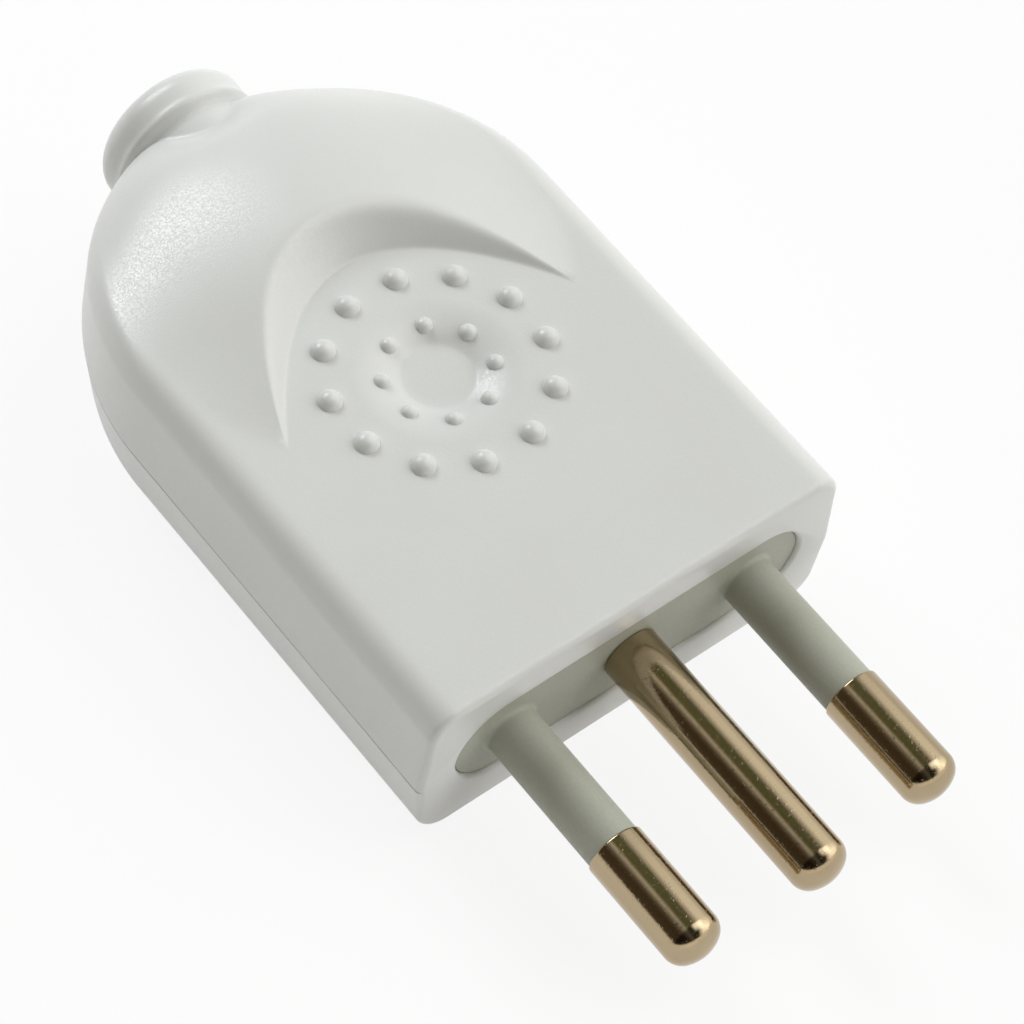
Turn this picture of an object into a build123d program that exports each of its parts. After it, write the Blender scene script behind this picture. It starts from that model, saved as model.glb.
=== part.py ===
from build123d import *
import os
from math import cos, hypot, pi, radians, sin, sqrt, tan

# Rewirable plug with three round pins in line. The pins point along -Y, +Z is up, and the origin lies on
# the middle pin's axis, in the plane of the white front face. All sizes are in millimetres.

# Pins
PIN_SPACING = 9.5
PIN_DIAMETER = 4.0
PIN_LENGTH = 19.0            # outer pins, from the carrier face to the tip
EARTH_PIN_EXTRA = 0.6        # how much further the middle pin reaches
PIN_TIP_ROUNDING = 1.85
SLEEVE_LENGTH = 10.3
SLEEVE_DIAMETER = 3.68
SLEEVE_FOOT_FILLET = 0.35
SHANK_DIAMETER = 2.9         # outer pins inside their sleeves
EARTH_ROOT_DIAMETER = 3.4    # middle pin inside the carrier
PIN_COLLAR_DIAMETER = 5.2    # ring that keys each pin into the carrier
PIN_COLLAR_LENGTH = 1.2

# Terminals at the inner ends of the pins
TERMINAL_DIAMETER = 6.0
TERMINAL_LENGTH = 9.5
TERMINAL_FLAT_Z = 2.0
WIRE_HOLE_DIAMETER = 2.8
WIRE_HOLE_DEPTH = 6.8
TERMINAL_SCREW_SETBACK = 3.2  # from the terminal's rear end
TERMINAL_SCREW_DIAMETER = 2.6
TERMINAL_SCREW_REACH = 1.6    # of the shank below the terminal's flat
TERMINAL_SCREW_LIFT = 0.3     # head above the flat while the terminal is open
TERMINAL_HEAD_DIAMETER = 4.2
TERMINAL_HEAD_HEIGHT = 1.5

# Body
BODY_WIDTH = 33.2            # at the parting line
UPPER_HEIGHT = 6.5           # flat top above the pin plane
LOWER_HEIGHT = 6.9           # flat underside below the pin plane
SIDE_DRAFT = 0.4             # how far the sides lean in from the parting line to the long edges
WALL = 2.0
FRONT_WALL = 2.2
FRONT_ROUNDING = 0.5
TOP_EDGE_RADIUS = 2.0
BOTTOM_EDGE_RADIUS = 2.4
SHOULDER_Y = 30.2            # where the straight sides end
SHOULDER_RADIUS = 18.9       # plan radius from the sides in to the neck
PARTING_Z = -1.0

# Swell of the body behind the finger recess
SWELL_Y = 20.5               # where the swell's foot meets the recess's horns
SWELL_HEIGHT = 2.42
SWELL_FALL = 0.89            # share of the swell that is lost at the neck
SWELL_FALL_POWER = 8         # how late it is lost
SWELL_FOOT_ANGLE = 5.0       # degrees
SWELL_MARGIN = 3.2           # flat left beside the swell at its front
SWELL_MARGIN_END = 0.3       # and further back
SWELL_MARGIN_LENGTH = 7.5    # over which the flat narrows
EDGE_DROP = 3.0              # how far the long edge sinks between shoulder and neck
REAR_EDGE_RADIUS = 1.9
REAR_EDGE_TILT = 40.0        # degrees by which the crest leaves the rounding at the neck
SWELL_STATIONS = 12

# Finger recess, dish and beads
GRIP_Y = 20.68               # middle of the bead rings
RECESS_APEX_Y = 30.6         # rear end of the recess's foot line, which is a parabola
RECESS_HORN_X = 11.5
RECESS_HORN_Y = 21.2
RECESS_FOOT_ANGLE = 40.0     # degrees, slope of the recess's rounded wall at its foot
RECESS_CREST_ANGLE = 12.0    # degrees, and at its top
RECESS_OVERCUT = 0.6         # how far the wall's arc is drawn past the swell's crest
RECESS_STATIONS = 4
DISH_RADIUS = 5.7
DISH_FLOOR_RADIUS = 2.45
DISH_DEPTH = 0.8
BEAD_COUNT = 12
BEAD_RING_RADIUS = 7.4
BEAD_RADIUS = 0.92
BEAD_HEIGHT = 0.55
SMALL_BEAD_COUNT = 8
SMALL_BEAD_RING_RADIUS = 3.73
SMALL_BEAD_RADIUS = 0.66
SMALL_BEAD_HEIGHT = 0.36

# Neck and cord inlet
NECK_RADIUS = 4.8
NECK_GROOVE_Y = 47.2         # where the groove's floor ends
GROOVE_FILLET = 0.6
COLLAR_Y = 47.9
COLLAR_RADIUS = 5.55
COLLAR_EDGE_ROUNDING = 0.35  # at the groove
COLLAR_ROUNDING = 1.6        # at the neck's end
NECK_END_Y = 50.8
INLET_RADIUS = 3.5
INLET_LENGTH = 7.0

# Pin carrier in the front face
CARRIER_WIDTH = 27.7         # of the opening that it fills
CARRIER_HEIGHT = 7.6
CARRIER_CLEARANCE = 0.15
CARRIER_RECESS = 0.3
FLANGE_WIDTH = 27.8
FLANGE_HEIGHT = 8.6
FLANGE_LENGTH = 3.0
FLANGE_CLEARANCE = 0.2
STOP_RIB = 1.2

# Inside of the shells
PASSAGE_RADIUS = 4.4         # where the cord's passage leaves the room
LIP_HEIGHT = 1.0
LIP_CLEARANCE = 0.1
PARTITION_THICKNESS = 1.2

# Screw that holds the halves together
SCREW_DIAMETER = 3.0
SCREW_CLEARANCE = 0.2
SCREW_LENGTH = 8.0
SCREW_HEAD_DIAMETER = 5.0
SCREW_HEAD_HEIGHT = 2.0
BOSS_DIAMETER = 7.6
HEAD_SINK = 0.4              # head below the dish floor
BOSS_GAP = 0.1
BOSS_ROOT = 0.5              # how deep the bosses run into the roof and the floor
SLOT_WIDTH = 0.8
SLOT_DEPTH = 0.8
HEAD_CHAMFER = 0.4
TIP_CHAMFER = 0.45

# Cord clamp
CLAMP_Y = 33.0
CLAMP_SCREW_X = 7.6
CLAMP_LENGTH = 21.6
CLAMP_WIDTH = 6.4
CLAMP_THICKNESS = 2.2
CLAMP_ROOM = 1.8             # behind the clamp, to the rear wall of the room
CLAMP_POST_DIAMETER = 6.0
CLAMP_POST_TOP_Z = 0.4
CLAMP_SCREW_DIAMETER = 2.9
CLAMP_SCREW_LENGTH = 5.5
CLAMP_HEAD_DIAMETER = 5.0
CLAMP_HEAD_HEIGHT = 1.5
CORD_SADDLE_RADIUS = 3.6

# Places that follow from the sizes above
HALF_WIDTH = BODY_WIDTH / 2
ROOF_Z = UPPER_HEIGHT - WALL
FLOOR_Z = WALL - LOWER_HEIGHT
CARRIER_FACE_Y = CARRIER_RECESS
FLANGE_Y = FRONT_WALL
FLANGE_REAR_Y = FLANGE_Y + FLANGE_LENGTH
SLEEVE_END_Y = CARRIER_FACE_Y - SLEEVE_LENGTH
TERMINAL_REAR_Y = FLANGE_REAR_Y + TERMINAL_LENGTH
TERMINAL_SCREW_Y = TERMINAL_REAR_Y - TERMINAL_SCREW_SETBACK
SHOULDER_CENTRE_X = HALF_WIDTH - SHOULDER_RADIUS
CAVITY_REAR_Y = CLAMP_Y + CLAMP_WIDTH / 2 + CLAMP_ROOM
DISH_SIDE_RADIUS = ((DISH_RADIUS - DISH_FLOOR_RADIUS) ** 2 + DISH_DEPTH**2) / (2 * DISH_DEPTH)
BODY_REAR_Y = SHOULDER_Y + sqrt(SHOULDER_RADIUS**2 - (COLLAR_RADIUS - SHOULDER_CENTRE_X) ** 2)
PIN_PLACES = {"live_pin": -PIN_SPACING, "earth_pin": 0.0, "neutral_pin": PIN_SPACING}
CLAMP_PLACES = (-CLAMP_SCREW_X, CLAMP_SCREW_X)


def half_width(y, inset=0.0):
    """Half width of the plan outline at y: straight sides, then the shoulder arc."""
    if y <= SHOULDER_Y:
        return HALF_WIDTH - inset
    return SHOULDER_CENTRE_X + sqrt((SHOULDER_RADIUS - inset) ** 2 - (y - SHOULDER_Y) ** 2)


def edge_sink(y):
    """How far the long edges have sunk towards the pin plane at y."""
    share = max(0.0, (y - SHOULDER_Y) / (BODY_REAR_Y - SHOULDER_Y))
    return EDGE_DROP * share**2


def swell_share(y):
    return max(0.0, (y - SWELL_Y) / (BODY_REAR_Y - SWELL_Y))


def crown(y):
    """How far the swell's crest stands above the long edge."""
    return SWELL_HEIGHT * (1 - SWELL_FALL * swell_share(y) ** SWELL_FALL_POWER)


def swell_margin(y):
    """Width of the flat between the long edge's rounding and the swell's foot."""
    share = max(0.0, 1 - (y - SWELL_Y) / SWELL_MARGIN_LENGTH)
    return SWELL_MARGIN_END + (SWELL_MARGIN - SWELL_MARGIN_END) * share**2


def station_plane(y):
    return Plane(origin=(0, y, 0), x_dir=(1, 0, 0), z_dir=(0, -1, 0))


def edge_radius(front_radius, y):
    """Rounding of a long edge, which changes evenly to the neck's own."""
    return front_radius + (REAR_EDGE_RADIUS - front_radius) * swell_share(y) ** 2


def half_section(y, height, front_radius, parting_z, crested):
    """Section across one half: leaning sides, rounded edges and a flat or crested top."""
    parting_x = half_width(y)
    side = parting_x - SIDE_DRAFT
    radius = edge_radius(front_radius, y)
    tilt = radians(REAR_EDGE_TILT) * swell_share(y) ** 2
    side_top = height - edge_sink(y) - radius
    edge_x = side - radius + radius * sin(tilt)
    edge_z = side_top + radius * cos(tilt)
    if crested:
        foot_x = edge_x - swell_margin(y)
        foot_z = edge_z + swell_margin(y) * tan(tilt)
        slope = tilt + radians(SWELL_FOOT_ANGLE) * (1 - swell_share(y))
        crest = (0, height - edge_sink(y) + crown(y))
        slopes = [(cos(slope), sin(slope)), (cos(slope), -sin(slope))]
        top = [
            Line((-edge_x, edge_z), (-foot_x, foot_z)),
            Spline((-foot_x, foot_z), crest, (foot_x, foot_z), tangents=slopes),
            Line((foot_x, foot_z), (edge_x, edge_z)),
        ]
    else:
        top = [Line((-edge_x, edge_z), (edge_x, edge_z))]
    face = make_face([
        Line((-parting_x, parting_z), (-side, side_top)),
        RadiusArc((-side, side_top), (-edge_x, edge_z), radius),
        *top,
        RadiusArc((edge_x, edge_z), (side, side_top), radius),
        Line((side, side_top), (parting_x, parting_z)),
        Line((parting_x, parting_z), (-parting_x, parting_z)),
    ])
    return station_plane(y) * face


def slab(height, front_radius, parting_z):
    """Flat front stretch of one half, with a rounded front edge."""
    block = extrude(half_section(0.0, height, front_radius, parting_z, False), SWELL_Y, dir=(0, 1, 0))
    front = block.faces().sort_by(Axis.Y)[0]
    outline = front.edges().sort_by(Axis.Z)[1:]
    return fillet(outline, FRONT_ROUNDING)


def swell(height, front_radius, parting_z):
    """Rear stretch of one half, lofted through crested sections that narrow to the neck."""
    reach = BODY_REAR_Y - SWELL_Y
    shares = [(1 - cos(pi * k / SWELL_STATIONS)) / 2 for k in range(SWELL_STATIONS + 1)]
    stations = [SWELL_Y + reach * share for share in shares]
    return loft([half_section(y, height, front_radius, parting_z, True) for y in stations])


def recess_outline(spread, z):
    """Parabolic outline of the recess, moved out by spread, as a face at height z."""
    curve = (RECESS_APEX_Y - RECESS_HORN_Y) / RECESS_HORN_X**2
    slope = 2 * curve * HALF_WIDTH
    end_x = HALF_WIDTH + spread * slope / hypot(slope, 1)
    end_y = RECESS_APEX_Y - curve * HALF_WIDTH**2 + spread / hypot(slope, 1)
    pull_y = 2 * (RECESS_APEX_Y + spread) - end_y
    return Pos(0, 0, z) * make_face([
        Bezier((-end_x, end_y), (0, pull_y), (end_x, end_y)),
        Line((end_x, end_y), (-end_x, end_y)),
    ])


def recess_cutter(floor):
    """Finger recess open to the front: flat floor, rounded wall leaning back from a parabolic foot."""
    foot = radians(RECESS_FOOT_ANGLE)
    crest = radians(RECESS_CREST_ANGLE)
    radius = (SWELL_HEIGHT + RECESS_OVERCUT) / (cos(crest) - cos(foot))
    angles = [foot + (crest - foot) * k / RECESS_STATIONS for k in range(RECESS_STATIONS + 1)]
    spreads = [radius * (sin(foot) - sin(angle)) for angle in angles]
    rises = [radius * (cos(angle) - cos(foot)) for angle in angles]
    return loft([recess_outline(spread, floor + rise) for spread, rise in zip(spreads, rises)])


def dish_height(radius):
    """Height of the upper dish's rounded side at a distance from its middle."""
    return UPPER_HEIGHT - DISH_SIDE_RADIUS + sqrt(DISH_SIDE_RADIUS**2 - (DISH_RADIUS - radius) ** 2)


def dish_cutter(face_z):
    """Shallow dish in the middle of the grip: rounded rim, flat disc at its bottom."""
    floor = face_z - DISH_DEPTH
    above = face_z + DISH_DEPTH
    profile = make_face([
        Line((0, floor), (DISH_FLOOR_RADIUS, floor)),
        RadiusArc((DISH_FLOOR_RADIUS, floor), (DISH_RADIUS, face_z), DISH_SIDE_RADIUS),
        Line((DISH_RADIUS, face_z), (DISH_RADIUS, above)),
        Line((DISH_RADIUS, above), (0, above)),
        Line((0, above), (0, floor)),
    ])
    return Pos(0, GRIP_Y, 0) * revolve(Plane.XZ * profile, Axis.Z)


def bead_ring(count, ring_radius, bead_radius, bead_height, floor_z):
    """Ring of round beads, each a ball sunk into the surface that carries it."""
    beads = []
    for k in range(count):
        angle = 2 * pi * (k + 0.5) / count
        x = ring_radius * cos(angle)
        y = GRIP_Y + ring_radius * sin(angle)
        beads.append(Pos(x, y, floor_z + bead_height - bead_radius) * Sphere(bead_radius))
    return beads


def neck():
    """Round neck with a groove and a rounded collar at its end."""
    start = NECK_GROOVE_Y - 2 * WALL
    profile = make_face(Polyline(
        (0, start),
        (NECK_RADIUS, start),
        (NECK_RADIUS, NECK_GROOVE_Y),
        (COLLAR_RADIUS, COLLAR_Y),
        (COLLAR_RADIUS, NECK_END_Y),
        (0, NECK_END_Y),
        close=True,
    ))
    for y, rounding in (
        (NECK_GROOVE_Y, GROOVE_FILLET),
        (COLLAR_Y, COLLAR_EDGE_ROUNDING),
        (NECK_END_Y, COLLAR_ROUNDING),
    ):
        corner = profile.vertices().filter_by_position(Axis.Y, y, y).sort_by(Axis.X)[-1]
        profile = fillet(corner, rounding)
    return revolve(profile, Axis.Y)


def plan_face(inset, front_y, rear_y):
    """Plan outline of the body, moved in by inset, between two stations."""
    side = HALF_WIDTH - inset
    rear = half_width(rear_y, inset)
    middle_y = (SHOULDER_Y + rear_y) / 2
    middle = half_width(middle_y, inset)
    return make_face([
        Line((-side, front_y), (-side, SHOULDER_Y)),
        ThreePointArc((-side, SHOULDER_Y), (-middle, middle_y), (-rear, rear_y)),
        Line((-rear, rear_y), (rear, rear_y)),
        ThreePointArc((rear, rear_y), (middle, middle_y), (side, SHOULDER_Y)),
        Line((side, SHOULDER_Y), (side, front_y)),
        Line((side, front_y), (-side, front_y)),
    ])


def cavity(roof_z):
    """Hollow inside one half, with the cord's passage and its inlet."""
    room = extrude(plan_face(WALL, FRONT_WALL, CAVITY_REAR_Y), roof_z, both=True)
    passage = revolve(make_face(Polyline(
        (0, CAVITY_REAR_Y - WALL),
        (PASSAGE_RADIUS, CAVITY_REAR_Y - WALL),
        (PASSAGE_RADIUS, CAVITY_REAR_Y),
        (INLET_RADIUS, NECK_END_Y - INLET_LENGTH),
        (INLET_RADIUS, NECK_END_Y + WALL),
        (0, NECK_END_Y + WALL),
        close=True,
    )), Axis.Y)
    return room + passage


def stadium(width, height, front_y, rear_y):
    """Block with half-round ends, along Y."""
    face = station_plane(rear_y) * SlotOverall(width, height)
    return extrude(face, rear_y - front_y, dir=(0, -1, 0))


def flange_pocket():
    """Room for the carrier's flange behind the front wall."""
    return Pos(0, FLANGE_Y, 0) * Box(
        FLANGE_WIDTH + 2 * FLANGE_CLEARANCE,
        FLANGE_LENGTH + LIP_CLEARANCE,
        FLANGE_HEIGHT + 2 * FLANGE_CLEARANCE,
        align=(Align.CENTER, Align.MIN, Align.CENTER),
    )


def outer_half(height, front_radius, parting_z):
    """Outside of one half with the room inside taken out, drawn as the upper half."""
    half_neck = split(neck(), bisect_by=Plane.XY.offset(parting_z), keep=Keep.TOP)
    hump = swell(height, front_radius, parting_z) - recess_cutter(height)
    half = slab(height, front_radius, parting_z) + hump + half_neck - dish_cutter(height)
    half -= stadium(CARRIER_WIDTH, CARRIER_HEIGHT, -WALL, FRONT_WALL + WALL)
    return half - cavity(height - WALL) - flange_pocket()


def locating_ring(inner, outer, height):
    """Ring that follows the body's wall, standing on the parting plane."""
    front = FLANGE_REAR_Y + 2 * STOP_RIB
    ring = plan_face(outer, front, CAVITY_REAR_Y) - plan_face(inner, front, CAVITY_REAR_Y)
    ring = extrude(ring, height)
    ends = Box(BODY_WIDTH, WALL, 4 * LIP_HEIGHT)
    return Pos(0, 0, PARTING_Z) * (ring - Pos(0, CAVITY_REAR_Y, 0) * ends)


def stop_ribs(bottom_z, top_z):
    """Two ribs on the side walls behind the carrier's flange."""
    height = top_z - bottom_z
    rib = Box(WALL, STOP_RIB, height)
    x = HALF_WIDTH - WALL
    y = FLANGE_REAR_Y + LIP_CLEARANCE + STOP_RIB / 2
    return [Pos(side * x, y, bottom_z + height / 2) * rib for side in (-1, 1)]


def upper_shell():
    """Upper half: swell, recess, dish and beads outside, screw boss inside."""
    shell = outer_half(UPPER_HEIGHT, TOP_EDGE_RADIUS, PARTING_Z)
    boss_height = ROOF_Z - PARTING_Z - BOSS_GAP + BOSS_ROOT
    boss = Pos(0, GRIP_Y, PARTING_Z + BOSS_GAP) * cylinder_up(BOSS_DIAMETER, boss_height)
    shell = shell + boss + stop_ribs(PARTING_Z, ROOF_Z)
    beads = bead_ring(BEAD_COUNT, BEAD_RING_RADIUS, BEAD_RADIUS, BEAD_HEIGHT, UPPER_HEIGHT)
    small_floor = dish_height(SMALL_BEAD_RING_RADIUS)
    beads += bead_ring(
        SMALL_BEAD_COUNT, SMALL_BEAD_RING_RADIUS, SMALL_BEAD_RADIUS, SMALL_BEAD_HEIGHT, small_floor
    )
    shell = shell + beads
    rebate = locating_ring(WALL, WALL / 2, LIP_HEIGHT + LIP_CLEARANCE)
    return shell - rebate - Pos(0, GRIP_Y, screw_seat_z()) * cylinder_up(SCREW_DIAMETER, SCREW_LENGTH)


def lower_shell():
    """Lower half: recess and sunk screw hole outside, lip, partitions and clamp posts inside."""
    shell = mirror(outer_half(LOWER_HEIGHT, BOTTOM_EDGE_RADIUS, -PARTING_Z), Plane.XY)
    depth = PARTING_Z - FLOOR_Z
    boss = Pos(0, GRIP_Y, FLOOR_Z - BOSS_ROOT) * cylinder_up(BOSS_DIAMETER, depth + BOSS_ROOT)
    post = cylinder_up(CLAMP_POST_DIAMETER, CLAMP_POST_TOP_Z - FLOOR_Z)
    posts = [Pos(x, CLAMP_Y, FLOOR_Z) * post for x in CLAMP_PLACES]
    saddle = Pos(0, CLAMP_Y, FLOOR_Z) * block_up(2 * CLAMP_SCREW_X, PARTITION_THICKNESS, depth)
    saddle -= turned(2 * CORD_SADDLE_RADIUS, CLAMP_Y - CLAMP_WIDTH, 2 * CLAMP_WIDTH)
    partition_y = FLANGE_REAR_Y + LIP_CLEARANCE + STOP_RIB + TERMINAL_LENGTH / 2
    partition = block_up(PARTITION_THICKNESS, TERMINAL_LENGTH, depth)
    partitions = [Pos(side * PIN_SPACING / 2, partition_y, FLOOR_Z) * partition for side in (-1, 1)]
    lip = locating_ring(WALL, WALL / 2 + LIP_CLEARANCE, LIP_HEIGHT)
    shell = shell + boss + posts + saddle + partitions + lip + stop_ribs(FLOOR_Z, PARTING_Z)
    shank_hole = cylinder_up(SCREW_DIAMETER + 2 * SCREW_CLEARANCE, LOWER_HEIGHT)
    head_hole = cylinder_up(SCREW_HEAD_DIAMETER + 2 * SCREW_CLEARANCE, LOWER_HEIGHT)
    shell -= Pos(0, GRIP_Y, -LOWER_HEIGHT) * shank_hole
    shell -= Pos(0, GRIP_Y, screw_seat_z() - LOWER_HEIGHT) * head_hole
    thread = cylinder_up(CLAMP_SCREW_DIAMETER, CLAMP_SCREW_LENGTH)
    hole_z = clamp_screw_seat_z() - CLAMP_SCREW_LENGTH
    return shell - [Pos(x, CLAMP_Y, hole_z) * thread for x in CLAMP_PLACES]


def cylinder_up(diameter, height):
    return Cylinder(diameter / 2, height, align=(Align.CENTER, Align.CENTER, Align.MIN))


def block_up(width, length, height):
    return Box(width, length, height, align=(Align.CENTER, Align.CENTER, Align.MIN))


def screw_seat_z():
    """Height of the face under the housing screw's head."""
    return DISH_DEPTH + HEAD_SINK + SCREW_HEAD_HEIGHT - LOWER_HEIGHT


def clamp_screw_seat_z():
    return CLAMP_POST_TOP_Z + CLAMP_THICKNESS


def slotted_screw(shank_diameter, length, head_diameter, head_height):
    """Screw hanging from its head seat at z = 0: shank down, slotted head up."""
    head = cylinder_up(head_diameter, head_height)
    rim = head.edges().filter_by(GeomType.CIRCLE).sort_by(Axis.Z)[-1]
    head = chamfer(rim, HEAD_CHAMFER)
    head -= Pos(0, 0, head_height) * Box(head_diameter, SLOT_WIDTH, 2 * SLOT_DEPTH)
    shank = Pos(0, 0, -length) * cylinder_up(shank_diameter, length)
    tip = shank.edges().filter_by(GeomType.CIRCLE).sort_by(Axis.Z)[0]
    return head + chamfer(tip, TIP_CHAMFER)


def pin(x, tip_y, shank_diameter, shank_end_y):
    """Turned pin: rounded tip, shank, keying collar and a drilled terminal."""
    tip_length = shank_end_y - tip_y
    front = turned(PIN_DIAMETER, tip_y, tip_length)
    nose = front.edges().filter_by(GeomType.CIRCLE).sort_by(Axis.Y)[0]
    front = fillet(nose, PIN_TIP_ROUNDING)
    shank = turned(shank_diameter, shank_end_y, FLANGE_REAR_Y - shank_end_y)
    collar_y = FLANGE_REAR_Y - FLANGE_LENGTH / 2 - PIN_COLLAR_LENGTH / 2
    collar = turned(PIN_COLLAR_DIAMETER, collar_y, PIN_COLLAR_LENGTH)
    terminal = turned(TERMINAL_DIAMETER, FLANGE_REAR_Y, TERMINAL_LENGTH)
    flat = Pos(0, FLANGE_REAR_Y, TERMINAL_FLAT_Z) * Box(
        TERMINAL_DIAMETER,
        TERMINAL_LENGTH,
        TERMINAL_DIAMETER,
        align=(Align.CENTER, Align.MIN, Align.MIN),
    )
    terminal -= flat
    terminal -= turned(WIRE_HOLE_DIAMETER, TERMINAL_REAR_Y - WIRE_HOLE_DEPTH, WIRE_HOLE_DEPTH)
    terminal -= Pos(0, TERMINAL_SCREW_Y, 0) * cylinder_up(TERMINAL_SCREW_DIAMETER, TERMINAL_DIAMETER)
    return Pos(x, 0, 0) * (front + shank + collar + terminal)


def turned(diameter, start_y, length):
    """Cylinder along Y from start_y."""
    return Pos(0, start_y, 0) * Rot(-90, 0, 0) * cylinder_up(diameter, length)


def pins():
    made = {}
    for name, x in PIN_PLACES.items():
        if name == "earth_pin":
            tip_y = CARRIER_FACE_Y - PIN_LENGTH - EARTH_PIN_EXTRA
            made[name] = pin(x, tip_y, EARTH_ROOT_DIAMETER, CARRIER_FACE_Y)
        else:
            made[name] = pin(x, CARRIER_FACE_Y - PIN_LENGTH, SHANK_DIAMETER, SLEEVE_END_Y)
    return made


def pin_carrier(pin_solids):
    """Insulating block moulded round the pins, with a sleeve on each outer pin."""
    plate = stadium(
        CARRIER_WIDTH - 2 * CARRIER_CLEARANCE,
        CARRIER_HEIGHT - 2 * CARRIER_CLEARANCE,
        CARRIER_FACE_Y,
        FLANGE_REAR_Y,
    )
    flange = Pos(0, FLANGE_Y, 0) * Box(
        FLANGE_WIDTH,
        FLANGE_LENGTH,
        FLANGE_HEIGHT,
        align=(Align.CENTER, Align.MIN, Align.CENTER),
    )
    carrier = plate + flange
    for name, x in PIN_PLACES.items():
        if name != "earth_pin":
            sleeve = turned(SLEEVE_DIAMETER, SLEEVE_END_Y, SLEEVE_LENGTH + CARRIER_RECESS)
            carrier += Pos(x, 0, 0) * sleeve
    rings = carrier.edges().filter_by(GeomType.CIRCLE)
    feet = [ring for ring in rings if ring.radius < PIN_DIAMETER / 2 and ring.center().Y > 0]
    carrier = fillet(feet, SLEEVE_FOOT_FILLET)
    return carrier - list(pin_solids.values())


def terminal_screws():
    """One slotted screw in each terminal."""
    reach = TERMINAL_SCREW_REACH + TERMINAL_SCREW_LIFT
    screw = slotted_screw(TERMINAL_SCREW_DIAMETER, reach, TERMINAL_HEAD_DIAMETER, TERMINAL_HEAD_HEIGHT)
    seat = TERMINAL_FLAT_Z + TERMINAL_SCREW_LIFT
    return Compound([Pos(x, TERMINAL_SCREW_Y, seat) * screw for x in PIN_PLACES.values()])


def housing_screw():
    """Screw from the underside, through the lower half into the upper half's boss."""
    screw = slotted_screw(SCREW_DIAMETER, SCREW_LENGTH, SCREW_HEAD_DIAMETER, SCREW_HEAD_HEIGHT)
    return Pos(0, GRIP_Y, screw_seat_z()) * Rot(180, 0, 0) * screw


def cord_clamp():
    """Bar across the two posts, with a rounded grip rib under it."""
    bar = Pos(0, CLAMP_Y, CLAMP_POST_TOP_Z) * block_up(CLAMP_LENGTH, CLAMP_WIDTH, CLAMP_THICKNESS)
    bar = fillet(bar.edges().filter_by(Axis.Z), CLAMP_WIDTH / 2 - LIP_CLEARANCE)
    hole = cylinder_up(CLAMP_SCREW_DIAMETER + 2 * SCREW_CLEARANCE, 2 * CLAMP_THICKNESS)
    rib_length = 2 * (CLAMP_SCREW_X - CLAMP_POST_DIAMETER / 2) - 2 * SCREW_CLEARANCE
    rib = Pos(0, CLAMP_Y, CLAMP_POST_TOP_Z) * Rot(0, 90, 0) * Cylinder(CLAMP_THICKNESS / 2, rib_length)
    return bar + rib - [Pos(x, CLAMP_Y, CLAMP_POST_TOP_Z - CLAMP_THICKNESS / 2) * hole for x in CLAMP_PLACES]


def cord_clamp_screws():
    screw = slotted_screw(CLAMP_SCREW_DIAMETER, CLAMP_SCREW_LENGTH, CLAMP_HEAD_DIAMETER, CLAMP_HEAD_HEIGHT)
    return Compound([Pos(x, CLAMP_Y, clamp_screw_seat_z()) * screw for x in CLAMP_PLACES])


def build():
    """Make every piece, by name."""
    pieces = {"upper_shell": upper_shell(), "lower_shell": lower_shell()}
    pin_solids = pins()
    pieces.update(pin_solids)
    pieces["pin_carrier"] = pin_carrier(pin_solids)
    pieces["terminal_screws"] = terminal_screws()
    pieces["housing_screw"] = housing_screw()
    pieces["cord_clamp"] = cord_clamp()
    pieces["cord_clamp_screws"] = cord_clamp_screws()
    return pieces


os.makedirs("parts", exist_ok=True)
for node, shape in build().items():
    export_step(shape, f"parts/{node}.step")
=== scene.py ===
from math import atan, cos, pi, radians, sin, sqrt, tan

import bmesh
import bpy
import numpy as np
from mathutils import Matrix, Vector
from mathutils.geometry import delaunay_2d_cdt


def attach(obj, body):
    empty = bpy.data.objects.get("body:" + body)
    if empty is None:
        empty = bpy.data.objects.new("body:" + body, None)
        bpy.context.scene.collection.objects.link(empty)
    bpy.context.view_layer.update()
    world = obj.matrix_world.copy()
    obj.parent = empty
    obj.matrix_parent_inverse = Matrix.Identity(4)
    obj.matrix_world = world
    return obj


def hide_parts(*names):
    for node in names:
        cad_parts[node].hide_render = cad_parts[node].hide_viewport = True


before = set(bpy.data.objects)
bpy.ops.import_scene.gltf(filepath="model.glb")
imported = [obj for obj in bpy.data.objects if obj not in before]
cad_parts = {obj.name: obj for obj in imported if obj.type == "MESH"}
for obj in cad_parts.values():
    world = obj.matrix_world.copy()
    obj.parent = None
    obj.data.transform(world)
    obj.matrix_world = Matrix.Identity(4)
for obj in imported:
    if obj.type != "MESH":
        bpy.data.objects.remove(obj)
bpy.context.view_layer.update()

MM = 0.001

# Sizes of the shells in millimetres, in the solids' frame: pins along -Y, +Z up.
HALF_WIDTH = 16.6
SIDE_DRAFT = 0.4
FRONT_ROUNDING = 0.5
SHOULDER_Y = 30.2
SHOULDER_RADIUS = 18.9
SWELL_Y = 20.5
SWELL_HEIGHT = 2.38
SWELL_FALL = 0.89
SWELL_FALL_POWER = 8
SWELL_FOOT_ANGLE = 5.0
SWELL_MARGIN = 3.2
SWELL_MARGIN_END = 0.3
SWELL_MARGIN_LENGTH = 7.5
EDGE_DROP = 3.0
REAR_EDGE_RADIUS = 1.9
REAR_EDGE_TILT = 40.0
BODY_REAR_Y = 47.393
WALL = 2.0
FRONT_WALL = 2.2

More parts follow.
